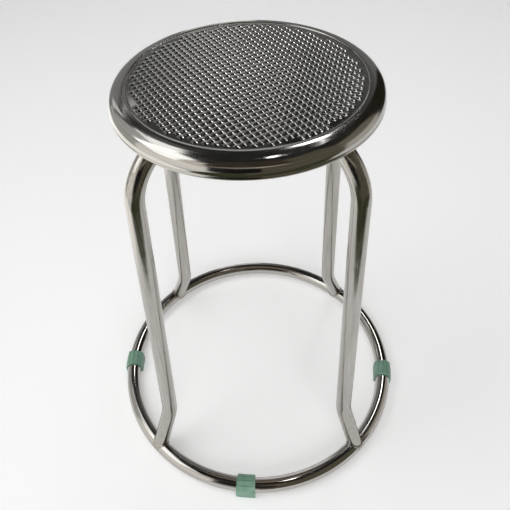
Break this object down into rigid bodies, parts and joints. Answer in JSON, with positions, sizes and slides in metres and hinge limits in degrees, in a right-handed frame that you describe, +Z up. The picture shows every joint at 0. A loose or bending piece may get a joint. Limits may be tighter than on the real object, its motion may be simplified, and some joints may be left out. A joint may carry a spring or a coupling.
{
  "type": "stool",
  "caption": "Round polished steel stool: embossed pan seat with a rolled rim, bent tube legs welded to a base ring, and clip-on plastic feet.",
  "frame": {"origin": "on the floor, at the stool's upright axis", "axes": "+Z up, -Y towards the front of the picture, legs on the diagonals"},
  "size_m": [0.3889, 0.3868, 0.4876],
  "materials": {
    "polished_steel": "polished",
    "weld_steel": "satin",
    "screw_steel": "satin",
    "board_wood": "matte",
    "green_plastic": "satin"
  },
  "bodies": {
    "frame": {"seat_pan": "polished_steel", "seat_board": "board_wood", "seat_screws": "screw_steel", "leg_arch": "polished_steel", "leg_rear_left": "polished_steel", "leg_front_right": "polished_steel", "crossing_welds": "weld_steel", "base_ring": "polished_steel", "ring_welds": "weld_steel"},
    "clip_left": {"foot_clip_left": "green_plastic"},
    "clip_front": {"foot_clip_front": "green_plastic"},
    "clip_right": {"foot_clip_right": "green_plastic"}
  },
  "joints": [
    {"name": "clip_left_slide_round_ring", "type": "hinge", "parent": "frame", "child": "clip_left", "pos_m": [0, 0, 0.0107], "axis": [0, 0, 1], "range_deg": [-37.4, 37.4]},
    {"name": "clip_front_slide_round_ring", "type": "hinge", "parent": "frame", "child": "clip_front", "pos_m": [0, 0, 0.0107], "axis": [0, 0, 1], "range_deg": [-33, 41.8]},
    {"name": "clip_right_slide_round_ring", "type": "hinge", "parent": "frame", "child": "clip_right", "pos_m": [0, 0, 0.0107], "axis": [0, 0, 1], "range_deg": [-31.1, 43.7]}
  ]
}
